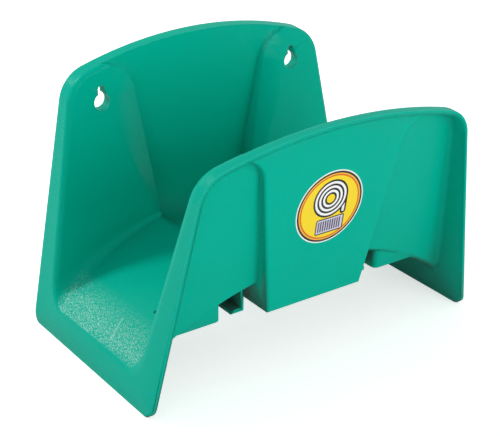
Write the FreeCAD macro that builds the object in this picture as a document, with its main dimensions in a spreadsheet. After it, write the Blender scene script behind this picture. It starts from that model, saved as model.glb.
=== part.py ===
import FreeCAD, Part

import math
import os

import Sketcher
from FreeCAD import Placement, Rotation, Vector

# Wall-mounted hose hanger, moulded in one piece, with a round label on its front panel.
# X runs along the wall, +Y points into the wall, Z is up.
# The sizes count Y from the wall; at the end the pieces move so that the origin is the middle
# of the footprint, on the plane of the bottom edges.

os.makedirs("parts", exist_ok=True)
doc = FreeCAD.newDocument("HoseHanger")

# Driving dimensions in millimetres; a slope is the run in X or Y for each millimetre of height
SIZES = {
    "wall": 3.4,
    "bottom_half": 134.4,
    "high_height": 150.0,
    "high_half": 107.25,
    "back_apex": 193.7,
    "back_top_radius": 301.0,
    "front_apex": 176.4,
    "front_top_radius": 356.0,
    "top_corner_radius": 25.5,
    "loft_depth": 190.0,
    "rim_depth": 157.7,
    "rim_slope": 0.1062,
    "band_corner_radius": 8.5,
    "clearance": 5.0,
    "beyond": 215.0,
    "saddle_radius": 198.0,
    "saddle_apex": 69.5,
    "channel_middle": 80.0,
    "lobe_depth": 24.3,
    "lobe_slope": 0.0665,
    "wing_depth": 126.4,
    "wing_slope": 0.2153,
    "corner_radius_middle": 0.8,
    "lobe_corner_radius": 11.0,
    "wing_corner_radius": 7.5,
    "hidden_bevel": 4.3,
    "lobe_edge_radius": 4.0,
    "wing_edge_radius": 9.0,
    "pocket_floor": 47.4,
    "pocket_half": 35.4,
    "flare_radius": 23.4,
    "back_flare_half": 77.5,
    "back_flare_height": 159.0,
    "front_flare_half": 75.2,
    "front_flare_height": 145.8,
    "back_panel_face": 3.5,
    "back_panel_knee": 95.0,
    "back_panel_slope": 0.062,
    "front_panel_face": 148.0,
    "front_panel_slope": 0.163,
    "panel_edge_radius": 2.0,
    "keyhole_half_spacing": 80.0,
    "keyhole_height": 157.4,
    "keyhole_radius": 6.0,
    "keyhole_slot_half": 2.65,
    "keyhole_rise": 8.8,
    "keyhole_rim": 2.4,
    "keyhole_back": 6.0,
    "tab_half_in": 65.5,
    "tab_half_out": 99.0,
    "tab_back_face": 26.0,
    "tab_front_face": 135.3,
    "tab_bottom": 39.7,
    "tab_corner_radius": 4.0,
    "rib_half": 46.5,
    "rib_lip_half": 57.0,
    "rib_bottom": 41.0,
    "rib_back_face": 28.0,
    "rib_front_face": 134.0,
    "web": 2.6,
    "label_radius": 27.0,
    "label_thickness": 0.4,
    "label_height": 115.4,
    "label_shift": 0.1,
}

sheet = doc.addObject("Spreadsheet::Sheet", "Sizes")
for row, (alias, value) in enumerate(SIZES.items(), start=1):
    sheet.set(f"A{row}", alias)
    sheet.set(f"B{row}", str(value))
    sheet.setAlias(f"B{row}", alias)
doc.recompute()


def value_of(expression):
    return float(sheet.evalExpression(expression))


# Sketch helpers: every vertex and radius is pinned by an expression on the sheet

TOLERANCE = 1e-3
MOSTLY_ALONG = 0.9
ORIGIN = (-1, 1)
X_AXIS = -1
Y_AXIS = -2
START = 1
END = 2
CENTRE = 3


def add_sketch(body, name, role):
    # local x, y are X, Z on XZ_Plane with the normal along -Y, and Y, Z on YZ_Plane
    sketch = body.newObject("Sketcher::SketchObject", name)
    plane = [item for item in body.Origin.OriginFeatures if item.Role == role][0]
    sketch.AttachmentSupport = [(plane, "")]
    sketch.MapMode = "FlatFace"
    return sketch


def constrain(sketch, kind, *references, expression=None):
    if expression is None:
        return sketch.addConstraint(Sketcher.Constraint(kind, *references))
    number = sketch.addConstraint(Sketcher.Constraint(kind, *references, value_of(expression)))
    sketch.setExpression(f"Constraints[{number}]", expression)
    return number


def pin(sketch, point, x_text, y_text):
    # a distance is always positive, so the order of the two points carries the sign
    for kind, text, axis in (("DistanceX", x_text, Y_AXIS), ("DistanceY", y_text, X_AXIS)):
        value = value_of(text)
        if abs(value) < TOLERANCE:
            constrain(sketch, "PointOnObject", *point, axis)
        elif value > 0:
            constrain(sketch, kind, *ORIGIN, *point, expression=text)
        else:
            constrain(sketch, kind, *point, *ORIGIN, expression=f"-({text})")


def add_polygon(sketch, corners):
    places = [Vector(value_of(x_text), value_of(y_text), 0) for x_text, y_text in corners]
    first = sketch.GeometryCount
    for index, place in enumerate(places):
        following = places[(index + 1) % len(places)]
        sketch.addGeometry(Part.LineSegment(place, following), False)
    for index, corner in enumerate(corners):
        pin(sketch, (first + index, START), *corner)
        earlier = first + (index - 1) % len(corners)
        constrain(sketch, "Coincident", earlier, END, first + index, START)


def arc(centre, radius, start_point, end_point):
    # runs anticlockwise from the start to the end
    start = math.atan2(start_point.y - centre.y, start_point.x - centre.x)
    end = math.atan2(end_point.y - centre.y, end_point.x - centre.x)
    if end < start:
        end += 2 * math.pi
    return Part.ArcOfCircle(Part.Circle(centre, Vector(0, 0, 1), radius), start, end)


def mirrored(point):
    return Vector(-point.x, point.y, 0)


def pad(body, sketch, length_text, midplane=False):
    feature = body.newObject("PartDesign::Pad", "Pad")
    feature.Profile = sketch
    feature.setExpression("Length", length_text)
    feature.Midplane = midplane
    body.Tip = feature
    return feature


def side_prism(name, corners, width_text="2 * Sizes.beyond", midplane=True):
    # prism along X with the given outline in Y and Z
    body = doc.addObject("PartDesign::Body", name)
    sketch = add_sketch(body, name + "Profile", "YZ_Plane")
    add_polygon(sketch, corners)
    doc.recompute()
    pad(body, sketch, width_text, midplane)
    doc.recompute()
    return body


def combine(kind, name, *shapes):
    feature = doc.addObject(kind, name)
    if kind == "Part::Cut":
        feature.Base, feature.Tool = shapes
    else:
        feature.Shapes = list(shapes)
    doc.recompute()
    return feature


def mirror_image(name, source):
    feature = doc.addObject("Part::Mirroring", name)
    feature.Source = source
    feature.Base = Vector(0, 0, 0)
    feature.Normal = Vector(1, 0, 0)
    doc.recompute()
    return feature


def edges_where(shape, test):
    found = []
    for number, edge in enumerate(shape.Edges, start=1):
        middle = edge.valueAt((edge.FirstParameter + edge.LastParameter) / 2)
        if test(edge, middle):
            found.append(number)
    return found


def dress_body(body, kind, name, numbers, size_text):
    # rounds (PartDesign::Fillet) or bevels (PartDesign::Chamfer) the numbered edges of a body
    base = body.Tip
    feature = body.newObject(kind, name)
    feature.Base = (base, [f"Edge{number}" for number in numbers])
    feature.setExpression("Radius" if kind == "PartDesign::Fillet" else "Size", size_text)
    body.Tip = feature
    doc.recompute()


def dress_edges(kind, name, base, sizes):
    # rounds (Part::Fillet) or bevels (Part::Chamfer); sizes gives two radii or legs for each edge
    feature = doc.addObject(kind, name)
    feature.Base = base
    feature.Edges = [(number, *pair) for number, pair in sizes.items()]
    doc.recompute()
    return feature


# The envelope of the hanger: leaning flat flanks under an arched top that drops towards the front


def add_arch(sketch, end):
    # end is back or front; the outline is wider than the flanks, which are cut afterwards
    half_text = "Sizes.bottom_half + Sizes.clearance"
    radius_text = f"Sizes.{end}_top_radius"
    sunk_text = f"{radius_text} - Sizes.{end}_apex"
    foot = Vector(value_of(half_text), 0, 0)
    radius = value_of(radius_text)
    arch_centre = Vector(0, -value_of(sunk_text), 0)
    eave = Vector(foot.x, math.sqrt(radius ** 2 - foot.x ** 2) + arch_centre.y, 0)
    bottom = sketch.addGeometry(Part.LineSegment(mirrored(foot), foot), False)
    right = sketch.addGeometry(Part.LineSegment(foot, eave), False)
    top = sketch.addGeometry(arc(arch_centre, radius, eave, mirrored(eave)), False)
    left = sketch.addGeometry(Part.LineSegment(mirrored(eave), mirrored(foot)), False)
    pin(sketch, (bottom, END), half_text, "0")
    pin(sketch, (bottom, START), f"-({half_text})", "0")
    pin(sketch, (top, CENTRE), "0", f"-({sunk_text})")
    constrain(sketch, "Radius", top, expression=radius_text)
    constrain(sketch, "Coincident", bottom, END, right, START)
    constrain(sketch, "Coincident", right, END, top, START)
    constrain(sketch, "Coincident", top, END, left, START)
    constrain(sketch, "Coincident", left, END, bottom, START)
    constrain(sketch, "Vertical", right)
    constrain(sketch, "Vertical", left)


def arched_loft(name, back_text, inset):
    # ruled solid between the arched outline at the wall and the one beyond the front rim
    body = doc.addObject("PartDesign::Body", name)
    back = add_sketch(body, name + "Back", "XZ_Plane")
    back.setExpression("AttachmentOffset.Base.z", back_text)
    back.setExpression("AttachmentOffset.Base.y", f"-({inset})")
    add_arch(back, "back")
    front = add_sketch(body, name + "Front", "XZ_Plane")
    front.setExpression("AttachmentOffset.Base.z", "Sizes.loft_depth")
    front.setExpression("AttachmentOffset.Base.y", f"-({inset})")
    add_arch(front, "front")
    doc.recompute()
    loft = body.newObject("PartDesign::AdditiveLoft", name + "Loft")
    loft.Profile = back
    loft.Sections = [(front, [""])]
    loft.Ruled = True
    body.Tip = loft
    doc.recompute()
    return body


def top_corner(edge, middle):
    # the two edges where the flanks meet the arched top
    along = edge.tangentAt(edge.FirstParameter)
    return abs(along.y) > MOSTLY_ALONG and middle.z > value_of("Sizes.high_height")


def envelope(name, walls):
    # walls is the number of wall thicknesses by which it is inset; an inset one is open at the wall
    inset = f"{walls} * Sizes.wall"
    arched = arched_loft(name + "Arch", f"-{walls} * Sizes.clearance", inset)
    flanks = doc.addObject("PartDesign::Body", name + "Flanks")
    sketch = add_sketch(flanks, name + "FlankProfile", "XZ_Plane")
    sketch.setExpression("AttachmentOffset.Base.z", "-Sizes.clearance")
    lean = "(Sizes.bottom_half - Sizes.high_half) / Sizes.high_height"
    low_text = f"Sizes.bottom_half - {inset} + {lean} * Sizes.clearance"
    high_text = f"Sizes.bottom_half - {inset} - {lean} * Sizes.beyond"
    add_polygon(sketch, [
        (f"-({low_text})", "-Sizes.clearance"),
        (low_text, "-Sizes.clearance"),
        (high_text, "Sizes.beyond"),
        (f"-({high_text})", "Sizes.beyond"),
    ])
    doc.recompute()
    pad(flanks, sketch, "Sizes.loft_depth + 2 * Sizes.clearance")
    doc.recompute()
    sharp = combine("Part::MultiCommon", name + "Sharp", arched, flanks)
    radius = value_of(f"Sizes.top_corner_radius - {inset}")
    corners = edges_where(sharp.Shape, top_corner)
    return dress_edges("Part::Fillet", name, sharp, {number: (radius, radius) for number in corners})


# The outside of the moulding: the envelope, cut off at the leaning front rim

outside = envelope("Outside", 0)
side_view = doc.addObject("PartDesign::Body", "SideView")
side_sketch = add_sketch(side_view, "SideProfile", "YZ_Plane")
rim_at_top = "-(Sizes.rim_depth + Sizes.rim_slope * Sizes.beyond)"
add_polygon(side_sketch, [
    ("0", "0"),
    ("0", "Sizes.beyond"),
    (rim_at_top, "Sizes.beyond"),
    ("-Sizes.rim_depth", "0"),
])
doc.recompute()
pad(side_view, side_sketch, "2 * Sizes.beyond", midplane=True)
doc.recompute()


def band_corner(edge, middle):
    # the two edges along X at the foot, one at the wall and one at the front rim
    return abs(middle.x) < TOLERANCE and abs(middle.z) < TOLERANCE


band_corners = edges_where(side_view.Shape, band_corner)
dress_body(side_view, "PartDesign::Fillet", "BandCorners", band_corners, "Sizes.band_corner_radius")
block = combine("Part::MultiCommon", "Block", outside, side_view)


# The channel for the hose: a trough along X over an arched saddle


def channel(name, walls):
    # walls is the number of wall thicknesses by which the channel is grown; the corners of a grown
    # one, on the hidden side of the skin, are bevelled
    grow = f"{walls} * Sizes.wall"
    low = "Sizes.clearance"
    body = doc.addObject("PartDesign::Body", name)
    sketch = add_sketch(body, name + "Trough", "YZ_Plane")
    lobe = "-(Sizes.lobe_depth - Sizes.lobe_slope * {height}) + " + grow
    wing = "-(Sizes.wing_depth + Sizes.wing_slope * {height}) - " + grow
    add_polygon(sketch, [
        (lobe.format(height="(-Sizes.clearance)"), f"-{low}"),
        (lobe.format(height="Sizes.beyond"), "Sizes.beyond"),
        (wing.format(height="Sizes.beyond"), "Sizes.beyond"),
        (wing.format(height="(-Sizes.clearance)"), f"-{low}"),
    ])
    doc.recompute()
    pad(body, sketch, "2 * Sizes.beyond", midplane=True)
    doc.recompute()
    arch = add_sketch(body, name + "Saddle", "XZ_Plane")
    centre = Vector(0, value_of("Sizes.saddle_apex - Sizes.saddle_radius"), 0)
    radius_text = f"Sizes.saddle_radius - {grow}"
    circle = arch.addGeometry(Part.Circle(centre, Vector(0, 0, 1), value_of(radius_text)), False)
    pin(arch, (circle, CENTRE), "0", "Sizes.saddle_apex - Sizes.saddle_radius")
    constrain(arch, "Radius", circle, expression=radius_text)
    doc.recompute()
    full = body.Shape.Volume
    pocket = body.newObject("PartDesign::Pocket", name + "Arch")
    pocket.Profile = arch
    pocket.Type = "ThroughAll"
    pocket.Midplane = True
    body.Tip = pocket
    doc.recompute()
    if body.Shape.Volume >= full:
        raise RuntimeError(name + " keeps its saddle")
    if walls:
        corners = edges_where(body.Shape, floor_edge)
        dress_body(body, "PartDesign::Chamfer", name + "Corners", corners, "Sizes.hidden_bevel")
    return body


def floor_edge(edge, middle):
    # the two arched edges where the walls of a grown channel meet the saddle
    return abs(middle.x) < TOLERANCE and middle.z < value_of("Sizes.saddle_apex")


trough = channel("Channel", 0)
saddle_block = combine("Part::Cut", "SaddleBlock", block, trough)
right_side = side_prism("RightSide", [
    ("Sizes.clearance", "-Sizes.clearance"),
    ("Sizes.clearance", "Sizes.beyond"),
    ("-Sizes.loft_depth", "Sizes.beyond"),
    ("-Sizes.loft_depth", "-Sizes.clearance"),
], "Sizes.beyond", midplane=False)
right_block = combine("Part::MultiCommon", "RightBlock", saddle_block, right_side)


# Between the saddle and the walls of the channel the rounding grows from the middle to the ends,
# and the outer corners of the walls and of the saddle's ends are well rounded


def lobe_face(height):
    return -(value_of("Sizes.lobe_depth") - value_of("Sizes.lobe_slope") * height)


def wing_face(height):
    return -(value_of("Sizes.wing_depth") + value_of("Sizes.wing_slope") * height)


def on_plane(edge, face):
    # true where both ends and the middle of the edge lie on a leaning face of the channel
    for share in (0.0, 0.5, 1.0):
        span = edge.LastParameter - edge.FirstParameter
        point = edge.valueAt(edge.FirstParameter + share * span)
        if abs(point.y - face(point.z)) > TOLERANCE:
            return False
    return True


def rim_edge(edge, middle, face):
    # the edge of a lobe or wing that runs up the side, round the corner and over the top
    outside_pocket = abs(middle.x) > value_of("Sizes.back_flare_half")
    return on_plane(edge, face) and (outside_pocket or middle.z > value_of("Sizes.high_height"))


def saddle_corner(edge, middle, face):
    # the arched edge between the saddle and a wall, from the middle to the right end
    low = middle.z < value_of("Sizes.saddle_apex")
    return on_plane(edge, face) and low and middle.x > TOLERANCE


def graded(edge, large):
    # radii at both ends of a corner edge: small in the middle of the hanger, large at its end
    small = value_of("Sizes.corner_radius_middle")
    starts_inside = edge.valueAt(edge.FirstParameter).x < edge.valueAt(edge.LastParameter).x
    return (small, large) if starts_inside else (large, small)


WALL_FACES = ((lobe_face, "lobe"), (wing_face, "wing"))
corner_radii = {}
for face, wall in WALL_FACES:
    radius = value_of(f"Sizes.{wall}_corner_radius")
    for number in edges_where(right_block.Shape, lambda edge, middle: saddle_corner(edge, middle, face)):
        corner_radii[number] = graded(right_block.Shape.Edges[number - 1], radius)
right_soft = dress_edges("Part::Fillet", "RightSoft", right_block, corner_radii)
outer_radii = {}
for face, wall in WALL_FACES:
    radius = value_of(f"Sizes.{wall}_edge_radius")
    for number in edges_where(right_soft.Shape, lambda edge, middle: rim_edge(edge, middle, face)):
        outer_radii[number] = (radius, radius)
right_half = dress_edges("Part::Fillet", "RightHalf", right_soft, outer_radii)
left_half = mirror_image("LeftHalf", right_half)
rounded_block = combine("Part::MultiFuse", "RoundedBlock", left_half, right_half)
rounded_block.Refine = True
doc.recompute()


# The pocket between the two panels: a funnel, seen from the front, under the arched tops


def funnel(name, end, walls):
    # prism along Y over the half of the pocket at one end, grown by a number of walls
    grow = f"{walls} * Sizes.wall"
    body = doc.addObject("PartDesign::Body", name)
    sketch = add_sketch(body, name + "Profile", "XZ_Plane")
    half_text = f"Sizes.pocket_half + {grow}"
    floor_text = f"Sizes.pocket_floor - {grow}"
    centre_texts = (f"Sizes.{end}_flare_half", f"Sizes.{end}_flare_height")
    radius_text = f"Sizes.flare_radius - {grow}"
    foot = Vector(value_of(half_text), value_of(floor_text), 0)
    centre = Vector(*[value_of(text) for text in centre_texts], 0)
    radius = value_of(radius_text)
    reach = (foot - centre).Length
    turn = math.atan2(foot.y - centre.y, foot.x - centre.x) - math.acos(radius / reach)
    touch = centre + Vector(math.cos(turn), math.sin(turn), 0) * radius
    crest = centre + Vector(0, radius, 0)
    top = Vector(centre.x, value_of("Sizes.beyond"), 0)
    bottom = sketch.addGeometry(Part.LineSegment(mirrored(foot), foot), False)
    right = sketch.addGeometry(Part.LineSegment(foot, touch), False)
    right_flare = sketch.addGeometry(arc(centre, radius, crest, touch), False)
    right_top = sketch.addGeometry(Part.LineSegment(crest, top), False)
    roof = sketch.addGeometry(Part.LineSegment(top, mirrored(top)), False)
    left_top = sketch.addGeometry(Part.LineSegment(mirrored(top), mirrored(crest)), False)
    left_flare = arc(mirrored(centre), radius, mirrored(touch), mirrored(crest))
    left_flare = sketch.addGeometry(left_flare, False)
    left = sketch.addGeometry(Part.LineSegment(mirrored(touch), mirrored(foot)), False)
    pin(sketch, (bottom, END), half_text, floor_text)
    pin(sketch, (bottom, START), f"-({half_text})", floor_text)
    pin(sketch, (right_flare, CENTRE), *centre_texts)
    pin(sketch, (left_flare, CENTRE), f"-({centre_texts[0]})", centre_texts[1])
    pin(sketch, (roof, START), centre_texts[0], "Sizes.beyond")
    pin(sketch, (roof, END), f"-({centre_texts[0]})", "Sizes.beyond")
    constrain(sketch, "Radius", right_flare, expression=radius_text)
    constrain(sketch, "Equal", right_flare, left_flare)
    constrain(sketch, "Coincident", bottom, END, right, START)
    constrain(sketch, "Tangent", right, END, right_flare, END)
    constrain(sketch, "Coincident", right_flare, START, right_top, START)
    constrain(sketch, "Vertical", right_top)
    constrain(sketch, "Coincident", right_top, END, roof, START)
    constrain(sketch, "Coincident", roof, END, left_top, START)
    constrain(sketch, "Vertical", left_top)
    constrain(sketch, "Coincident", left_top, END, left_flare, END)
    constrain(sketch, "Tangent", left_flare, START, left, START)
    constrain(sketch, "Coincident", left, END, bottom, START)
    doc.recompute()
    pad(body, sketch, "Sizes.loft_depth")
    doc.recompute()
    return body


def pocket(name, walls):
    # walls is 0 for the pocket itself and 1 for the box that stands round it
    grow = f"{walls} * Sizes.wall"
    skin = f"{walls} * Sizes.back_panel_face"
    back_face = f"-Sizes.back_panel_face + {skin}"
    low, high = "0", "Sizes.beyond"
    back_lean = "Sizes.back_panel_slope * (Sizes.beyond - Sizes.back_panel_knee)"
    back_view = side_prism(name + "BackView", [
        ("-Sizes.channel_middle", low),
        (back_face, low),
        (back_face, "Sizes.back_panel_knee"),
        (f"{back_face} - {back_lean}", high),
        ("-Sizes.channel_middle", high),
    ])
    front_low = f"-(Sizes.front_panel_face - Sizes.front_panel_slope * Sizes.pocket_floor) - {grow}"
    front_high = f"{front_low} - Sizes.front_panel_slope * Sizes.beyond"
    front_view = side_prism(name + "FrontView", [
        ("-Sizes.channel_middle", low),
        ("-Sizes.channel_middle", high),
        (front_high, high),
        (front_low, low),
    ])
    back_funnel = funnel(name + "BackFunnel", "back", walls)
    back_part = combine("Part::MultiCommon", name + "Back", back_funnel, back_view)
    front_funnel = funnel(name + "FrontFunnel", "front", walls)
    front_part = combine("Part::MultiCommon", name + "Front", front_funnel, front_view)
    return back_part, front_part


def panel_edge(edge, middle):
    # the edge round the front face of the box, up both sides and along the bottom
    rise = middle.z - value_of("Sizes.pocket_floor")
    depth = value_of("Sizes.front_panel_face + Sizes.wall") + value_of("Sizes.front_panel_slope") * rise
    top = value_of("Sizes.front_flare_height + Sizes.flare_radius")
    return abs(middle.y + depth) < TOLERANCE and middle.z < top


pocket_back, pocket_front = pocket("Pocket", 0)
box_back, box_front = pocket("Box", 1)
panel_radius = value_of("Sizes.panel_edge_radius")
panel_edges = edges_where(box_front.Shape, panel_edge)
panel_radii = {number: (panel_radius, panel_radius) for number in panel_edges}
round_box = dress_edges("Part::Fillet", "RoundBox", box_front, panel_radii)


# The space behind the skin: the inside of the envelope without the grown channel and box

inside = envelope("Inside", 1)
grown_channel = channel("GrownChannel", 1)
hollow = combine("Part::Cut", "Hollow", inside, grown_channel)


def wing_back_face(height):
    return wing_face(height) - value_of("Sizes.wall")


# a bevel that touches the inside of the rounded wall halfway round the corner
inner_leg = value_of("(Sizes.wing_edge_radius - Sizes.wall) * (2 - sqrt(2))")
inner_legs = {}
for number in edges_where(hollow.Shape, lambda edge, middle: rim_edge(edge, middle, wing_back_face)):
    inner_legs[number] = (inner_leg, inner_leg)
bevelled_hollow = dress_edges("Part::Chamfer", "BevelledHollow", hollow, inner_legs)
box = combine("Part::MultiFuse", "Box", box_back, round_box)
open_space = combine("Part::Cut", "OpenSpace", bevelled_hollow, box)
pocket_space = combine("Part::MultiFuse", "PocketSpace", pocket_back, pocket_front)
skin_block = combine("Part::Cut", "SkinBlock", rounded_block, pocket_space)
shell = combine("Part::Cut", "Shell", skin_block, open_space)


# Under each half of the saddle: a rail with round corners, and a rib with a lip beside the box


def floor_prism(name, corners, bottom_text):
    # upright prism from a height up into the skin of the saddle, with its outline in X and Y
    body = doc.addObject("PartDesign::Body", name)
    sketch = add_sketch(body, name + "Plan", "XY_Plane")
    sketch.setExpression("AttachmentOffset.Base.z", bottom_text)
    add_polygon(sketch, corners)
    doc.recompute()
    pad(body, sketch, "Sizes.saddle_apex")
    doc.recompute()
    return body


rail = floor_prism("Rail", [
    ("Sizes.tab_half_in", "-Sizes.tab_front_face"),
    ("Sizes.tab_half_out", "-Sizes.tab_front_face"),
    ("Sizes.tab_half_out", "-Sizes.tab_front_face + Sizes.web"),
    ("Sizes.tab_half_in + Sizes.web", "-Sizes.tab_front_face + Sizes.web"),
    ("Sizes.tab_half_in + Sizes.web", "-Sizes.tab_back_face - Sizes.web"),
    ("Sizes.tab_half_out", "-Sizes.tab_back_face - Sizes.web"),
    ("Sizes.tab_half_out", "-Sizes.tab_back_face"),
    ("Sizes.tab_half_in", "-Sizes.tab_back_face"),
], "Sizes.tab_bottom")


def rail_corner(edge, middle):
    upright = abs(edge.tangentAt(edge.FirstParameter).z) > MOSTLY_ALONG
    return upright and abs(middle.x - value_of("Sizes.tab_half_in")) < TOLERANCE


rail_corners = edges_where(rail.Shape, rail_corner)
dress_body(rail, "PartDesign::Fillet", "RailCorners", rail_corners, "Sizes.tab_corner_radius")
rib = floor_prism("Rib", [
    ("Sizes.rib_half", "-Sizes.rib_front_face"),
    ("Sizes.rib_half + Sizes.web", "-Sizes.rib_front_face"),
    ("Sizes.rib_half + Sizes.web", "-Sizes.rib_back_face"),
    ("Sizes.rib_half", "-Sizes.rib_back_face"),
], "Sizes.rib_bottom")
lip = doc.addObject("Part::Box", "Lip")
lip.setExpression("Length", "Sizes.rib_lip_half - Sizes.rib_half")
lip.setExpression("Width", "Sizes.rib_front_face - Sizes.rib_back_face")
lip.setExpression("Height", "Sizes.web")
lip.setExpression("Placement.Base.x", "Sizes.rib_half")
lip.setExpression("Placement.Base.y", "-Sizes.rib_front_face")
lip.setExpression("Placement.Base.z", "Sizes.rib_bottom")
uprights = combine("Part::MultiFuse", "Uprights", rail, rib)
middle_skin = channel("MiddleSkin", 0.5)
trimmed = combine("Part::Cut", "Trimmed", uprights, middle_skin)
right_webs = combine("Part::MultiFuse", "RightWebs", trimmed, lip)
left_webs = mirror_image("LeftWebs", right_webs)


# Keyholes for two screws, one in each lobe, with a short collar on the wall side


def keyhole(name, grow_text, near_text, far_text):
    # prism along Y between two depths from the wall
    body = doc.addObject("PartDesign::Body", name)
    sketch = add_sketch(body, name + "Profile", "XZ_Plane")
    sketch.setExpression("AttachmentOffset.Base.z", near_text)
    centre = Vector(value_of("Sizes.keyhole_half_spacing"), value_of("Sizes.keyhole_height"), 0)
    slot_centre = centre + Vector(0, value_of("Sizes.keyhole_rise"), 0)
    radius_text = f"Sizes.keyhole_radius + {grow_text}"
    half_text = f"Sizes.keyhole_slot_half + {grow_text}"
    radius, half = value_of(radius_text), value_of(half_text)
    join = Vector(half, math.sqrt(radius ** 2 - half ** 2), 0)
    side = Vector(half, 0, 0)
    head = sketch.addGeometry(arc(centre, radius, centre + mirrored(join), centre + join), False)
    right = sketch.addGeometry(Part.LineSegment(centre + join, slot_centre + side), False)
    end = sketch.addGeometry(arc(slot_centre, half, slot_centre + side, slot_centre - side), False)
    left = sketch.addGeometry(Part.LineSegment(slot_centre - side, centre + mirrored(join)), False)
    pin(sketch, (head, CENTRE), "Sizes.keyhole_half_spacing", "Sizes.keyhole_height")
    slot_text = "Sizes.keyhole_height + Sizes.keyhole_rise"
    pin(sketch, (end, CENTRE), "Sizes.keyhole_half_spacing", slot_text)
    constrain(sketch, "Radius", head, expression=radius_text)
    constrain(sketch, "Radius", end, expression=half_text)
    constrain(sketch, "Coincident", head, END, right, START)
    constrain(sketch, "Coincident", left, END, head, START)
    constrain(sketch, "Tangent", right, END, end, START)
    constrain(sketch, "Tangent", end, END, left, START)
    constrain(sketch, "Vertical", right)
    constrain(sketch, "Vertical", left)
    doc.recompute()
    pad(body, sketch, f"{far_text} - {near_text}")
    doc.recompute()
    return body


lobe_middle = "(Sizes.lobe_depth - Sizes.lobe_slope * Sizes.keyhole_height - Sizes.wall / 2)"
right_collar = keyhole("RightCollar", "Sizes.keyhole_rim", "Sizes.keyhole_back", lobe_middle)
left_collar = mirror_image("LeftCollar", right_collar)
right_hole = keyhole("RightHole", "0", "Sizes.keyhole_back - Sizes.wall", "Sizes.lobe_depth")
left_hole = mirror_image("LeftHole", right_hole)
solid = combine("Part::MultiFuse", "Solid", shell, left_webs, right_webs, left_collar, right_collar)
holes = combine("Part::MultiFuse", "Holes", left_hole, right_hole)
hanger = combine("Part::Cut", "HangerBody", solid, holes)
hanger.Label = "hanger_body"


# Round label on the leaning front panel

label = doc.addObject("Part::Cylinder", "RoundLabel")
label.Label = "label"
label.setExpression("Radius", "Sizes.label_radius")
label.setExpression("Height", "Sizes.label_thickness")
panel_depth = (
    "Sizes.front_panel_face + Sizes.wall + Sizes.front_panel_slope"
    " * (Sizes.label_height - Sizes.pocket_floor)"
)
lean = math.atan(value_of("Sizes.front_panel_slope"))
label.Placement = Placement(
    Vector(value_of("Sizes.label_shift"), -value_of(panel_depth), value_of("Sizes.label_height")),
    Rotation(Vector(1, 0, 0), math.degrees(math.pi / 2 + lean)),
)
label.setExpression("Placement.Base.x", "Sizes.label_shift")
label.setExpression("Placement.Base.z", "Sizes.label_height")


# Both pieces move from the wall to the middle of the hanger's depth

full_depth = (
    "(Sizes.rim_depth + Sizes.rim_slope * Sizes.back_apex)"
    " / (1 + Sizes.rim_slope * (Sizes.back_apex - Sizes.front_apex) / Sizes.loft_depth)"
)
hanger.setExpression("Placement.Base.y", f"{full_depth} / 2")
label.setExpression("Placement.Base.y", f"{full_depth} / 2 - ({panel_depth})")
doc.recompute()

for item in doc.Objects:
    if "Invalid" in item.State or "Error" in item.State:
        raise RuntimeError(f"{item.Name} failed: {item.getStatusString()}")
for piece in (hanger, label):
    if piece.Shape.isNull() or not piece.Shape.isValid() or len(piece.Shape.Solids) != 1:
        raise RuntimeError(f"{piece.Label} isn't one valid solid")
for piece in (hanger, label):
    piece.Shape.exportStep(f"parts/{piece.Label}.step")
    print(piece.Label, round(piece.Shape.Volume), len(piece.Shape.Faces), piece.Shape.BoundBox)
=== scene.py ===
"""Looks of a wall-mounted hose hanger: grained green plastic, a printed round label and a studio."""

import math

import bmesh
import bpy
from bpy.props import FloatProperty, FloatVectorProperty, PointerProperty
from bpy.types import Operator, Panel, PropertyGroup
from mathutils import Matrix, Vector


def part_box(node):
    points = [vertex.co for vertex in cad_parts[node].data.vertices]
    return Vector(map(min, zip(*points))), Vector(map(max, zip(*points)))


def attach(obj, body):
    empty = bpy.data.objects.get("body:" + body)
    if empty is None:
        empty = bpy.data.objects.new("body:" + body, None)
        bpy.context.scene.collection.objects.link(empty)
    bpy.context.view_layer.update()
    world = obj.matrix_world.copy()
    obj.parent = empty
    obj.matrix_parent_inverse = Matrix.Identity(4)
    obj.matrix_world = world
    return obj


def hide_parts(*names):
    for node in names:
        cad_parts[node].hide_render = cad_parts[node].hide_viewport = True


bl_info = {
    "name": "Hose Hanger Looks",
    "version": (1, 1, 0),
    "blender": (4, 5, 0),
    "location": "View3D > Sidebar > Hanger",
    "description": "Dresses a moulded hose hanger with its plastic, its label and a studio",
    "category": "Object",
}

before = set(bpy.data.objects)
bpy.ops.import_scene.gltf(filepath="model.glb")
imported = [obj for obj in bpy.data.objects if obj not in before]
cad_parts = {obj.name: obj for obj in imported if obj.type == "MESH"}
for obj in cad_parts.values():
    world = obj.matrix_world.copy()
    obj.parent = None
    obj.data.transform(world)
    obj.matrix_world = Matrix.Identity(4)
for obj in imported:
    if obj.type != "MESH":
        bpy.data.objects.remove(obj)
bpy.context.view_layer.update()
MILLIMETRE = 0.001

# The photograph's camera, in the frame of the part, with Y counted from the wall
FRAME_WIDTH = 500
SENSOR_WIDTH = 36.0
FOCAL_PIXELS = 1330.0
CAMERA_FROM_WALL = (-492.45, -761.60, 471.19)
CAMERA_YAW = 0.6225
CAMERA_PITCH = 0.4402
CAMERA_ROLL = 0.0107

# Places of the lights and their widths, in metres, and the point that they aim at
KEY_PLACE = (-0.64, 0.78, 1.22)
KEY_WIDTH = 0.2
GLANCING_PLACE = (-0.68, 1.2, 0.84)
GLANCING_WIDTH = 0.25
FRONT_PLACE = (0.4, -2.1, 0.6)
FRONT_WIDTH = 1.2
LIGHT_TARGET = (0.0, 0.0, 0.09)
HORIZON_SHARE = 1.2
CEILING_SHARE = 0.6
FLOOR_REACH = 30.0

# Widths of the grain on the film and the paper
FILM_GRAIN = 0.0006
PAPER_GRAIN = 0.002

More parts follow.
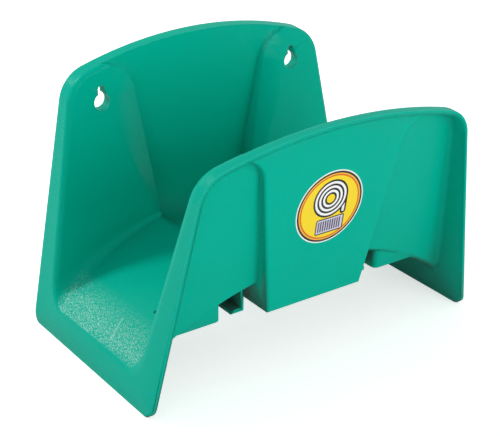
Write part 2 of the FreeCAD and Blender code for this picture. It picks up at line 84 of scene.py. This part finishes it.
# How strongly each effect shows on the plastic
RELIEF_STRENGTH = 0.6
RELIEF_SHARE = 0.12
MOTTLE_SHADE = 0.93
MOTTLE_DULLNESS = 0.1
GLINT_POLISH = 0.2
GLINT_GLOSS = 0.3
EDGE_HIGHLIGHT_SHARE = 0.8
SCRATCH_SHARE = 0.35
DARK_SPOT_SHARE = 0.8
DARK_SPOT_TONE = 0.1


def wall_plane():
    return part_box("hanger_body")[1][1]


def label_radius():
    low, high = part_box("label")
    return (high.x - low.x) / 2


def colour_property(name, description, default):
    return FloatVectorProperty(
        name=name, description=description, subtype="COLOR", size=3, min=0.0, max=1.0, default=default,
    )


class PlasticSettings(PropertyGroup):
    """Colour, grain and wear of the moulded plastic, with its painted highlights and painted shade"""

    colour: colour_property("Colour", "Colour of the plastic", (0.0, 0.47, 0.335))
    # painted highlight: a paler green laid along the small roundings of the edges
    edge_highlight_colour: colour_property("Edges", "Colour of the glinting, curved edges", (0.12, 0.74, 0.6))
    # painted highlight and real wear: the pale glint specks near the saddle's ends and the real scratch
    # share this colour
    glint_and_scratch: colour_property("Glints_and_scratch", "Colour of the glinting specks and the scratch", (0.6, 0.92, 0.84))
    # painted shade: the colour that the plastic darkens to deep in the pocket and the hollows, and how far
    # it reaches
    painted_shade_colour: colour_property("Crevices", "Shaded colour deep in the hollows", (0.045, 0.11, 0.08))
    painted_shade_reach: FloatProperty(
        name="Crevice reach", description="How far walls dull each other", default=0.08, unit="LENGTH",
    )
    sheen: colour_property("Sheen", "Tint of the soft sheen", (0.1, 1.0, 0.8))
    roughness: FloatProperty(
        name="Roughness", description="How matt the grained skin is", default=0.4, min=0.0, max=1.0,
    )
    # painted highlight: how pale the glint specks near the saddle's ends are
    glint_paleness: FloatProperty(
        name="Glints", description="How pale the glinting specks are", default=0.8, min=0.0, max=1.0,
    )
    grain: FloatProperty(
        name="Grain", description="Width of one grain of the spark-eroded skin", default=0.0008,
        unit="LENGTH",
    )
    edge: FloatProperty(
        name="Edge rounding", description="Radius of the small rounding along every sharp edge",
        default=0.0006, unit="LENGTH",
    )


class LabelSettings(PropertyGroup):
    """Size and inks of the round label"""

    radius: FloatProperty(
        name="Radius", description="Radius of the label", default=label_radius(), unit="LENGTH",
    )
    thickness: FloatProperty(
        name="Thickness", description="Thickness of the film", default=0.0002, unit="LENGTH",
    )
    field: colour_property("Field", "Ink of the middle field", (1.0, 0.74, 0.012))
    amber: colour_property("Amber", "Ink of the outer band", (0.94, 0.49, 0.045))
    orange: colour_property("Orange", "Ink of the thin ring", (0.78, 0.13, 0.006))
    black: colour_property("Black", "Ink of the dark ring and the outlines", (0.004, 0.004, 0.004))
    white: colour_property("White", "Bare film", (0.95, 0.95, 0.96))
    lilac: colour_property("Lilac", "Tint of the panel", (0.66, 0.62, 0.78))
    grey: colour_property("Grey", "Ink of the bars on the panel", (0.05, 0.04, 0.08))


class StudioSettings(PropertyGroup):
    """Floor, light and camera"""

    floor_colour: colour_property("Floor", "Colour of the floor", (0.92, 0.92, 0.92))
    glow: FloatProperty(name="Glow", description="How much the floor is lifted to white", default=0.6)
    key_power: FloatProperty(name="Key", description="Power of the key light in watts", default=9.0)
    glancing_power: FloatProperty(
        name="Glancing", description="Power in watts of the light that glints on the ends", default=1.5,
    )
    front_power: FloatProperty(
        name="Front", description="Power of the wide front light in watts", default=17.0,
    )
    sky: FloatProperty(name="Sky", description="Strength of the pale surroundings", default=0.62)


def feed(tree, value, socket):
    # links a socket, or sets a constant
    if isinstance(value, bpy.types.NodeSocket):
        tree.links.new(value, socket)
    else:
        socket.default_value = value


def add_node(tree, kind, inputs, **settings):
    node = tree.nodes.new(kind)
    for name, value in settings.items():
        setattr(node, name, value)
    for key, value in inputs.items():
        feed(tree, value, node.inputs[key])
    return node


def maths(tree, operation, *values):
    node = tree.nodes.new("ShaderNodeMath")
    node.operation = operation
    for socket, value in zip(node.inputs, values):
        feed(tree, value, socket)
    return node.outputs["Value"]


def less_than(tree, value, limit):
    return maths(tree, "LESS_THAN", value, limit)


def mix_colours(tree, share, first, second):
    node = tree.nodes.new("ShaderNodeMix")
    node.data_type = "RGBA"
    for name, value in (("Factor_Float", share), ("A_Color", first), ("B_Color", second)):
        socket = [item for item in node.inputs if item.identifier == name][0]
        feed(tree, value, socket)
    return [item for item in node.outputs if item.identifier == "Result_Color"][0]


def opaque(colour):
    return (*colour, 1.0)


def new_material(name):
    material = bpy.data.materials.new(name)
    material.use_nodes = True
    return material, material.node_tree, material.node_tree.nodes["Principled BSDF"]


def grain_group():
    """Fine surface grain, for the plastic, the label film and the paper floor"""
    group = bpy.data.node_groups.get("fine_grain")
    if group is not None:
        return group
    group = bpy.data.node_groups.new("fine_grain", "ShaderNodeTree")
    for name, kind in (("Place", "NodeSocketVector"), ("Width", "NodeSocketFloat")):
        group.interface.new_socket(name, in_out="INPUT", socket_type=kind)
    for name in ("Height", "Glint", "Mottle"):
        group.interface.new_socket(name, in_out="OUTPUT", socket_type="NodeSocketFloat")
    entry = group.nodes.new("NodeGroupInput")
    leave = group.nodes.new("NodeGroupOutput")
    density = maths(group, "DIVIDE", 1.0, entry.outputs["Width"])
    grain = add_node(group, "ShaderNodeTexNoise", {
        "Vector": entry.outputs["Place"], "Scale": density, "Detail": 1.0, "Roughness": 0.6,
    })
    spots = add_node(group, "ShaderNodeTexNoise", {
        "Vector": entry.outputs["Place"], "Scale": maths(group, "MULTIPLY", density, 1.2),
        "Detail": 0.0, "Distortion": 0.5,
    })
    glint = add_node(group, "ShaderNodeMapRange", {
        "Value": spots.outputs["Fac"], "From Min": 0.56, "From Max": 0.62,
    })
    mottle = add_node(group, "ShaderNodeTexNoise", {
        "Vector": entry.outputs["Place"], "Scale": maths(group, "DIVIDE", density, 40.0), "Detail": 3.0,
    })
    feed(group, grain.outputs["Fac"], leave.inputs["Height"])
    feed(group, glint.outputs["Result"], leave.inputs["Glint"])
    feed(group, mottle.outputs["Fac"], leave.inputs["Mottle"])
    return group


def add_grain(tree, width):
    place = tree.nodes.new("ShaderNodeTexCoord")
    node = add_node(tree, "ShaderNodeGroup", {}, node_tree=grain_group())
    feed(tree, place.outputs["Object"], node.inputs["Place"])
    feed(tree, width, node.inputs["Width"])
    return node


def edge_mask(tree, rounded):
    # 0 on open faces, 1 where the small rounding turns the face furthest
    true_normal = tree.nodes.new("ShaderNodeNewGeometry")
    turn = add_node(tree, "ShaderNodeVectorMath", {}, operation="DOT_PRODUCT")
    feed(tree, true_normal.outputs["Normal"], turn.inputs[0])
    feed(tree, rounded, turn.inputs[1])
    mask = add_node(tree, "ShaderNodeMapRange", {
        "Value": turn.outputs["Value"], "From Min": 0.99, "From Max": 0.8,
    })
    return mask.outputs["Result"]


# The pale specks near the two ends of the saddle, a painted highlight standing in for glints: distances
# from the middle, and the height below which they lie
PAINTED_GLINT_START = 0.102
PAINTED_GLINT_END = 0.134
PAINTED_GLINT_TOP = 0.05

# A scratch on the left end of the saddle and a small dark spot beside the front plate
SCRATCH_START = Vector((-0.1119, 0.0, 0.0348))
SCRATCH_END = Vector((-0.1252, -0.0052, 0.0249))
SCRATCH_WIDTH = 0.0004
DARK_SPOT_PLACE = (-0.0981, -0.0183, 0.0435)
DARK_SPOT_RADIUS = 0.0013


def map_range(tree, value, low, high):
    node = add_node(tree, "ShaderNodeMapRange", {"Value": value, "From Min": low, "From Max": high})
    return node.outputs["Result"]


def vector_maths(tree, operation, first, second, output="Vector"):
    node = add_node(tree, "ShaderNodeVectorMath", {}, operation=operation)
    feed(tree, first, node.inputs[0])
    feed(tree, second, node.inputs[1])
    return node.outputs[output]


def painted_glint_specks(tree, settings, place, glint):
    # painted highlight: pale glint specks in the colour, thickening towards the ends of the saddle
    parts = tree.nodes.new("ShaderNodeSeparateXYZ")
    feed(tree, place, parts.inputs["Vector"])
    normal = tree.nodes.new("ShaderNodeNewGeometry").outputs["Normal"]
    facing = vector_maths(tree, "DOT_PRODUCT", normal, (0.0, 0.0, 1.0), "Value")
    near = map_range(tree, maths(tree, "ABSOLUTE", parts.outputs["X"]), PAINTED_GLINT_START, PAINTED_GLINT_END)
    upward = map_range(tree, facing, 0.6, 0.8)
    low = less_than(tree, parts.outputs["Z"], PAINTED_GLINT_TOP)
    zone = maths(tree, "MULTIPLY", maths(tree, "MULTIPLY", near, upward), low)
    return maths(tree, "MULTIPLY", maths(tree, "MULTIPLY", zone, glint), settings.glint_paleness)


def scratch_mask(tree, place):
    # 1 within the width of the line between the scratch's two ends
    run = SCRATCH_END - SCRATCH_START
    offset = vector_maths(tree, "SUBTRACT", place, SCRATCH_START)
    along = vector_maths(tree, "DOT_PRODUCT", offset, run / run.length_squared, "Value")
    foot = add_node(tree, "ShaderNodeVectorMath", {}, operation="SCALE")
    feed(tree, run, foot.inputs[0])
    feed(tree, maths(tree, "MINIMUM", maths(tree, "MAXIMUM", along, 0.0), 1.0), foot.inputs["Scale"])
    distance = vector_maths(tree, "DISTANCE", offset, foot.outputs["Vector"], "Value")
    return less_than(tree, distance, SCRATCH_WIDTH)


def openness(tree, reach):
    # share of the plain colour against the painted shade: 1 on open faces, falling to 0 deep in the pocket
    # and the hollows
    shade = add_node(tree, "ShaderNodeAmbientOcclusion", {"Distance": reach}, samples=6)
    return map_range(tree, shade.outputs["AO"], 0.1, 0.5)


def plastic_material(settings):
    material, tree, shader = new_material("moulded_green_plastic")
    grain = add_grain(tree, settings.grain)
    rounded = add_node(tree, "ShaderNodeBevel", {"Radius": settings.edge}, samples=6)
    edges = edge_mask(tree, rounded.outputs["Normal"])
    relief = add_node(tree, "ShaderNodeBump", {
        "Strength": RELIEF_STRENGTH,
        "Distance": settings.grain * RELIEF_SHARE,
        "Height": grain.outputs["Height"],
        "Normal": rounded.outputs["Normal"],
    })
    darker = [channel * MOTTLE_SHADE for channel in settings.colour]
    mottled = mix_colours(tree, grain.outputs["Mottle"], opaque(darker), opaque(settings.colour))
    # painted highlight: the paler edge colour mixed in along the roundings of the edges
    rounding = maths(tree, "MULTIPLY", edges, EDGE_HIGHLIGHT_SHARE)
    colour = mix_colours(tree, rounding, mottled, opaque(settings.edge_highlight_colour))
    place = tree.nodes.new("ShaderNodeTexCoord").outputs["Object"]
    # painted highlight: pale glint specks near both ends of the saddle, in the base colour; the scratch is
    # real wear
    specks = painted_glint_specks(tree, settings, place, grain.outputs["Glint"])
    glint_and_scratch = maths(tree, "MAXIMUM", specks, maths(tree, "MULTIPLY", scratch_mask(tree, place), SCRATCH_SHARE))
    colour = mix_colours(tree, glint_and_scratch, colour, opaque(settings.glint_and_scratch))
    # a small round spot beside the front plate, darkened in the colour
    from_dark_spot = vector_maths(tree, "DISTANCE", place, DARK_SPOT_PLACE, "Value")
    dark_spot = maths(tree, "MULTIPLY", less_than(tree, from_dark_spot, DARK_SPOT_RADIUS), DARK_SPOT_SHARE)
    colour = mix_colours(tree, dark_spot, colour, opaque(channel * DARK_SPOT_TONE for channel in settings.colour))
    least = settings.roughness - MOTTLE_DULLNESS / 2
    dull = maths(tree, "MULTIPLY_ADD", grain.outputs["Mottle"], MOTTLE_DULLNESS, least)
    polished = maths(tree, "MULTIPLY_ADD", grain.outputs["Glint"], -GLINT_POLISH, dull)
    # painted shade: the colour darkens deep in the pocket and the hollows
    clear = openness(tree, settings.painted_shade_reach)
    colour = mix_colours(tree, clear, opaque(settings.painted_shade_colour), colour)
    feed(tree, colour, shader.inputs["Base Color"])
    feed(tree, polished, shader.inputs["Roughness"])
    feed(tree, relief.outputs["Normal"], shader.inputs["Normal"])
    feed(tree, maths(tree, "MULTIPLY", grain.outputs["Glint"], GLINT_GLOSS), shader.inputs["Coat Weight"])
    feed(tree, relief.outputs["Normal"], shader.inputs["Coat Normal"])
    shader.inputs["Coat Roughness"].default_value = 0.18
    shader.inputs["Specular IOR Level"].default_value = 0.05
    shader.inputs["Specular Tint"].default_value = opaque(settings.sheen)
    return material


# At the foot of each wing the solid's mesh draws one corner of the outer skin in to the hidden side;
# that corner belongs where the rounding of the wing meets the flank. Places are on the right side.
CAUGHT_CORNER = (0.12560, -0.05130, 0.02986)
TRUE_CORNER = (0.12898, -0.05224, 0.02993)
SKIN = 0.0034
FLANK_LEAN = 0.181
SHARP_ANGLE = math.radians(38)


def in_outer_skin(face, caught, half_width):
    # true where every corner of a face but the caught one is in the outer half of the skin
    others = [corner.co for corner in face.verts if corner is not caught]
    return all(abs(place.x) + FLANK_LEAN * place.z > half_width - SKIN / 2 for place in others)


def mend_wing_corners(shell):
    # leaves a mesh as it is where no face of the outer skin reaches the hidden corner
    half_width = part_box("hanger_body")[1].x
    for side in (-1.0, 1.0):
        mirror = Matrix.Diagonal((side, 1.0, 1.0))
        place = mirror @ Vector(CAUGHT_CORNER)
        caught = min(shell.verts, key=lambda vertex: (vertex.co - place).length)
        fan = [face for face in caught.link_faces if in_outer_skin(face, caught, half_width)]
        if not fan or (caught.co - place).length > SKIN / 4:
            continue
        parted = bmesh.ops.split(shell, geom=fan, use_only_faces=True)["geom"]
        corners = [item for item in parted if isinstance(item, bmesh.types.BMVert)]
        drawn_in = min(corners, key=lambda vertex: (vertex.co - place).length)
        drawn_in.co = mirror @ Vector(TRUE_CORNER)
    bmesh.ops.remove_doubles(shell, verts=shell.verts, dist=SKIN / 1000)


class HANGER_OT_moulding(Operator):
    """Dresses the moulded body in its grained green plastic, with true corners at the wings' feet"""

    bl_idname = "hanger.moulding"
    bl_label = "Moulding"

    def execute(self, context):
        mesh = bpy.data.meshes.new("moulding")
        mesh.materials.append(plastic_material(context.scene.hanger_plastic))
        shell = bmesh.new()
        shell.from_mesh(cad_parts["hanger_body"].data)
        bmesh.ops.remove_doubles(shell, verts=shell.verts, dist=SKIN / 1000)
        mend_wing_corners(shell)
        for face in shell.faces:
            face.smooth = True
            face.material_index = 0
        shell.to_mesh(mesh)
        shell.free()
        mesh.set_sharp_from_angle(angle=SHARP_ANGLE)
        moulding = bpy.data.objects.new("moulding", mesh)
        context.collection.objects.link(moulding)
        weighted = moulding.modifiers.new("even_shading", "WEIGHTED_NORMAL")
        weighted.keep_sharp = True
        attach(moulding, "root")
        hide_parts("hanger_body")
        return {"FINISHED"}


# The print on the label, in millimetres from its centre: the outer radius of each ring, a coil of
# hose seen from the front, and an outlined panel with plain bars
RINGS = (("field", 22.8), ("orange", 23.8), ("amber", 24.8), ("black", 26.1))
COIL_PLACE = (0.0, 6.2)
COIL_INNER = 3.3
COIL_OUTER = 14.0
COIL_PITCH = 3.1
TAIL_PLACE = (11.6, 0.0)
TAIL_HALF = (0.0, 5.6)
TAIL_THICKNESS = 2.4
PANEL_PLACE = (2.0, -14.3)
PANEL_HALF = (11.4, 5.9)
PANEL_CORNER = 1.6
OUTLINE = 1.4
BAR_PITCH = 1.9
BAR_SHARE = 0.55
BAR_HALF = (9.4, 4.0)


def offset_from(tree, place, centre):
    moved = add_node(tree, "ShaderNodeVectorMath", {}, operation="SUBTRACT")
    feed(tree, place, moved.inputs[0])
    moved.inputs[1].default_value = (*centre, 0.0)
    return moved.outputs["Vector"]


def length_of(tree, vector):
    node = add_node(tree, "ShaderNodeVectorMath", {}, operation="LENGTH")
    feed(tree, vector, node.inputs[0])
    return node.outputs["Value"]


def rectangle_distance(tree, vector, half):
    # how far a point lies outside a rectangle, rounded round its corners
    parts = tree.nodes.new("ShaderNodeSeparateXYZ")
    feed(tree, vector, parts.inputs["Vector"])
    beyond = []
    for axis, limit in zip("XY", half):
        reach = maths(tree, "SUBTRACT", maths(tree, "ABSOLUTE", parts.outputs[axis]), limit)
        beyond.append(maths(tree, "POWER", maths(tree, "MAXIMUM", reach, 0.0), 2.0))
    return maths(tree, "SQRT", maths(tree, "ADD", *beyond))


def stripes(tree, value, pitch, share):
    # 1 on a share of each pitch
    turn = maths(tree, "FRACT", maths(tree, "DIVIDE", value, pitch))
    return less_than(tree, turn, share)


def ring_print(tree, settings, distance):
    colour = opaque(settings.white)
    for ink, radius in reversed(RINGS):
        inside = less_than(tree, distance, radius)
        colour = mix_colours(tree, inside, colour, opaque(getattr(settings, ink)))
    return colour


def coil_print(tree, settings, place, under):
    beside = rectangle_distance(tree, offset_from(tree, place, TAIL_PLACE), TAIL_HALF)
    edged = mix_colours(tree, less_than(tree, beside, TAIL_THICKNESS), under, opaque(settings.black))
    inner = less_than(tree, beside, TAIL_THICKNESS - OUTLINE)
    under = mix_colours(tree, inner, edged, opaque(settings.white))
    distance = length_of(tree, offset_from(tree, place, COIL_PLACE))
    disc = less_than(tree, distance, COIL_OUTER)
    hole = less_than(tree, distance, COIL_INNER)
    run = maths(tree, "SUBTRACT", distance, COIL_INNER + OUTLINE - COIL_PITCH)
    turns = stripes(tree, run, COIL_PITCH, 1 - OUTLINE / COIL_PITCH)
    hose = mix_colours(tree, turns, opaque(settings.black), opaque(settings.white))
    covered = mix_colours(tree, disc, under, hose)
    return mix_colours(tree, hole, covered, opaque(settings.field))


def panel_print(tree, settings, place, under):
    vector = offset_from(tree, place, PANEL_PLACE)
    core = [half - PANEL_CORNER for half in PANEL_HALF]
    distance = rectangle_distance(tree, vector, core)
    outline = mix_colours(tree, less_than(tree, distance, PANEL_CORNER), under, opaque(settings.black))
    inner = less_than(tree, distance, PANEL_CORNER - OUTLINE * 0.6)
    panel = mix_colours(tree, inner, outline, opaque(settings.lilac))
    parts = tree.nodes.new("ShaderNodeSeparateXYZ")
    feed(tree, vector, parts.inputs["Vector"])
    field = less_than(tree, rectangle_distance(tree, vector, BAR_HALF), 0.01)
    bars = stripes(tree, parts.outputs["X"], BAR_PITCH, BAR_SHARE)
    return mix_colours(tree, maths(tree, "MULTIPLY", field, bars), panel, opaque(settings.grey))


def label_material(settings):
    material, tree, shader = new_material("printed_film")
    flat = tree.nodes.new("ShaderNodeUVMap")
    flat.uv_map = "print"
    place = add_node(tree, "ShaderNodeVectorMath", {}, operation="SCALE")
    feed(tree, offset_from(tree, flat.outputs["UV"], (0.5, 0.5)), place.inputs[0])
    place.inputs["Scale"].default_value = 2 * settings.radius / MILLIMETRE
    place = place.outputs["Vector"]
    rings = ring_print(tree, settings, length_of(tree, place))
    coil = coil_print(tree, settings, place, rings)
    ink = panel_print(tree, settings, place, coil)
    grain = add_grain(tree, FILM_GRAIN)
    dusty = [channel * 0.9 for channel in settings.white]
    relief = add_node(tree, "ShaderNodeBump", {
        "Strength": 0.15, "Distance": 0.0001, "Height": grain.outputs["Height"],
    })
    aged = mix_colours(tree, maths(tree, "MULTIPLY", grain.outputs["Mottle"], 0.06), ink, opaque(dusty))
    feed(tree, aged, shader.inputs["Base Color"])
    dull = maths(tree, "MULTIPLY_ADD", grain.outputs["Mottle"], 0.15, 0.3)
    feed(tree, dull, shader.inputs["Roughness"])
    feed(tree, relief.outputs["Normal"], shader.inputs["Normal"])
    shader.inputs["Specular IOR Level"].default_value = 0.12
    return material


def label_place():
    # the label's centre on the panel, turned so that its own Z points out of the panel
    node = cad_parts["label"]
    face = max(node.data.polygons, key=lambda polygon: (-polygon.normal.y, polygon.area))
    outward = face.normal.copy()
    low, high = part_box("label")
    middle = (low + high) / 2
    right = Vector((1.0, 0.0, 0.0))
    upward = outward.cross(right)
    turn = Matrix((right, upward, outward)).transposed().to_4x4()
    depth = (face.center - middle).dot(outward)
    return Matrix.Translation(middle - outward * depth) @ turn


class HANGER_OT_label(Operator):
    """Sticks the round printed label on the front panel"""

    bl_idname = "hanger.label"
    bl_label = "Label"

    def execute(self, context):
        settings = context.scene.hanger_label
        mesh = bpy.data.meshes.new("round_label")
        mesh.materials.append(label_material(settings))
        self.model(mesh, settings)
        label = bpy.data.objects.new("round_label", mesh)
        context.collection.objects.link(label)
        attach(label, "root")
        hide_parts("label")
        return {"FINISHED"}

    def model(self, mesh, settings):
        film = bmesh.new()
        bmesh.ops.create_circle(film, cap_ends=True, segments=128, radius=settings.radius)
        raised = bmesh.ops.extrude_face_region(film, geom=film.faces[:])["geom"]
        top = [item for item in raised if isinstance(item, bmesh.types.BMVert)]
        bmesh.ops.translate(film, verts=top, vec=(0.0, 0.0, settings.thickness))
        rim = [edge for edge in film.edges if all(vertex in top for vertex in edge.verts)]
        bmesh.ops.bevel(
            film, geom=rim, offset=settings.thickness * 0.4, affect="EDGES", segments=2, profile=0.5,
            material=-1,
        )
        bmesh.ops.recalc_face_normals(film, faces=film.faces)
        flat = film.loops.layers.uv.new("print")
        for face in film.faces:
            for loop in face.loops:
                across = loop.vert.co.xy / (2 * settings.radius)
                loop[flat].uv = across + Vector((0.5, 0.5))
        film.transform(label_place())
        film.to_mesh(mesh)
        film.free()


class HANGER_OT_stage(Operator):
    """Sets up the floor, the lights and the camera at the photograph's view"""

    bl_idname = "hanger.stage"
    bl_label = "Studio"

    def execute(self, context):
        settings = context.scene.hanger_studio
        self.add_floor(settings)
        self.add_lights(context, settings)
        self.add_camera(context)
        return {"FINISHED"}

    def add_floor(self, settings):
        mesh = bpy.data.meshes.new("floor")
        sheet = bmesh.new()
        bmesh.ops.create_grid(sheet, x_segments=1, y_segments=1, size=FLOOR_REACH)
        sheet.to_mesh(mesh)
        sheet.free()
        floor = bpy.data.objects.new("floor", mesh)
        bpy.context.collection.objects.link(floor)
        material, tree, shader = new_material("floor_paper")
        grain = add_grain(tree, PAPER_GRAIN)
        darker = [channel * 0.99 for channel in settings.floor_colour]
        paper = mix_colours(tree, grain.outputs["Mottle"], opaque(darker), opaque(settings.floor_colour))
        feed(tree, paper, shader.inputs["Base Color"])
        shader.inputs["Roughness"].default_value = 0.9
        shader.inputs["Specular IOR Level"].default_value = 0.1
        self.lift_floor(tree, shader, settings)
        mesh.materials.append(material)

    def lift_floor(self, tree, shader, settings):
        # as paper lit from below, which shows almost white and adds no light to the hanger
        seen = tree.nodes.new("ShaderNodeLightPath").outputs["Is Camera Ray"]
        strength = maths(tree, "MULTIPLY", seen, settings.glow)
        glow = add_node(tree, "ShaderNodeEmission", {"Strength": strength})
        both = tree.nodes.new("ShaderNodeAddShader")
        feed(tree, shader.outputs["BSDF"], both.inputs[0])
        feed(tree, glow.outputs["Emission"], both.inputs[1])
        feed(tree, both.outputs["Shader"], tree.nodes["Material Output"].inputs["Surface"])

    def add_lights(self, context, settings):
        world = bpy.data.worlds.new("pale_room")
        context.scene.world = world
        world.use_nodes = True
        background = world.node_tree.nodes["Background"]
        background.inputs["Color"].default_value = (1.0, 1.0, 1.0, 1.0)
        self.dim_overhead(world.node_tree, background, settings.sky)
        self.add_light("key", KEY_PLACE, settings.key_power, KEY_WIDTH)
        self.add_light("glancing", GLANCING_PLACE, settings.glancing_power, GLANCING_WIDTH)
        self.add_light("front", FRONT_PLACE, settings.front_power, FRONT_WIDTH)
        context.scene.view_settings.view_transform = "Standard"

    def dim_overhead(self, tree, background, strength):
        # full strength at the height of the eye, and less towards the ceiling
        direction = tree.nodes.new("ShaderNodeTexCoord")
        parts = tree.nodes.new("ShaderNodeSeparateXYZ")
        feed(tree, direction.outputs["Generated"], parts.inputs["Vector"])
        fall = add_node(tree, "ShaderNodeMapRange", {
            "Value": parts.outputs["Z"], "From Min": 0.0, "From Max": 1.0,
            "To Min": strength * HORIZON_SHARE, "To Max": strength * CEILING_SHARE,
        })
        feed(tree, fall.outputs["Result"], background.inputs["Strength"])

    def add_light(self, name, place, power, width):
        lamp = bpy.data.lights.new(name, "AREA")
        lamp.energy = power
        lamp.size = width
        light = bpy.data.objects.new(name, lamp)
        light.location = place
        aim = Vector(LIGHT_TARGET) - Vector(place)
        light.rotation_euler = aim.to_track_quat("-Z", "Y").to_euler()
        bpy.context.collection.objects.link(light)

    def add_camera(self, context):
        camera_data = bpy.data.cameras.new("photo_camera")
        camera_data.sensor_fit = "HORIZONTAL"
        camera_data.sensor_width = SENSOR_WIDTH
        camera_data.lens = FOCAL_PIXELS * SENSOR_WIDTH / FRAME_WIDTH
        camera_data.clip_start = 0.01
        camera = bpy.data.objects.new("photo_camera", camera_data)
        x, y, z = (value * MILLIMETRE for value in CAMERA_FROM_WALL)
        turn = Matrix.Rotation(-CAMERA_YAW, 4, "Z")
        tilt = Matrix.Rotation(math.pi / 2 - CAMERA_PITCH, 4, "X")
        roll = Matrix.Rotation(CAMERA_ROLL, 4, "Z")
        place = Matrix.Translation((x, y + wall_plane(), z))
        camera.matrix_world = place @ turn @ tilt @ roll
        context.collection.objects.link(camera)
        context.scene.camera = camera


class HANGER_PT_looks(Panel):
    """Lists the steps that dress the hanger"""

    bl_label = "Hose Hanger"
    bl_idname = "HANGER_PT_looks"
    bl_space_type = "VIEW_3D"
    bl_region_type = "UI"
    bl_category = "Hanger"

    def draw(self, context):
        layout = self.layout
        for operator in OPERATORS:
            layout.operator(operator.bl_idname)


SETTINGS = {
    "hanger_plastic": PlasticSettings,
    "hanger_label": LabelSettings,
    "hanger_studio": StudioSettings,
}
OPERATORS = (HANGER_OT_moulding, HANGER_OT_label, HANGER_OT_stage)


def register():
    for group in SETTINGS.values():
        bpy.utils.register_class(group)
    for operator in OPERATORS:
        bpy.utils.register_class(operator)
    bpy.utils.register_class(HANGER_PT_looks)
    for name, group in SETTINGS.items():
        setattr(bpy.types.Scene, name, PointerProperty(type=group))


def unregister():
    for name in SETTINGS:
        delattr(bpy.types.Scene, name)
    bpy.utils.unregister_class(HANGER_PT_looks)
    for operator in reversed(OPERATORS):
        bpy.utils.unregister_class(operator)
    for group in reversed(SETTINGS.values()):
        bpy.utils.unregister_class(group)


def main():
    register()
    bpy.ops.hanger.moulding()
    bpy.ops.hanger.label()
    bpy.ops.hanger.stage()


if __name__ == "__main__":
    main()
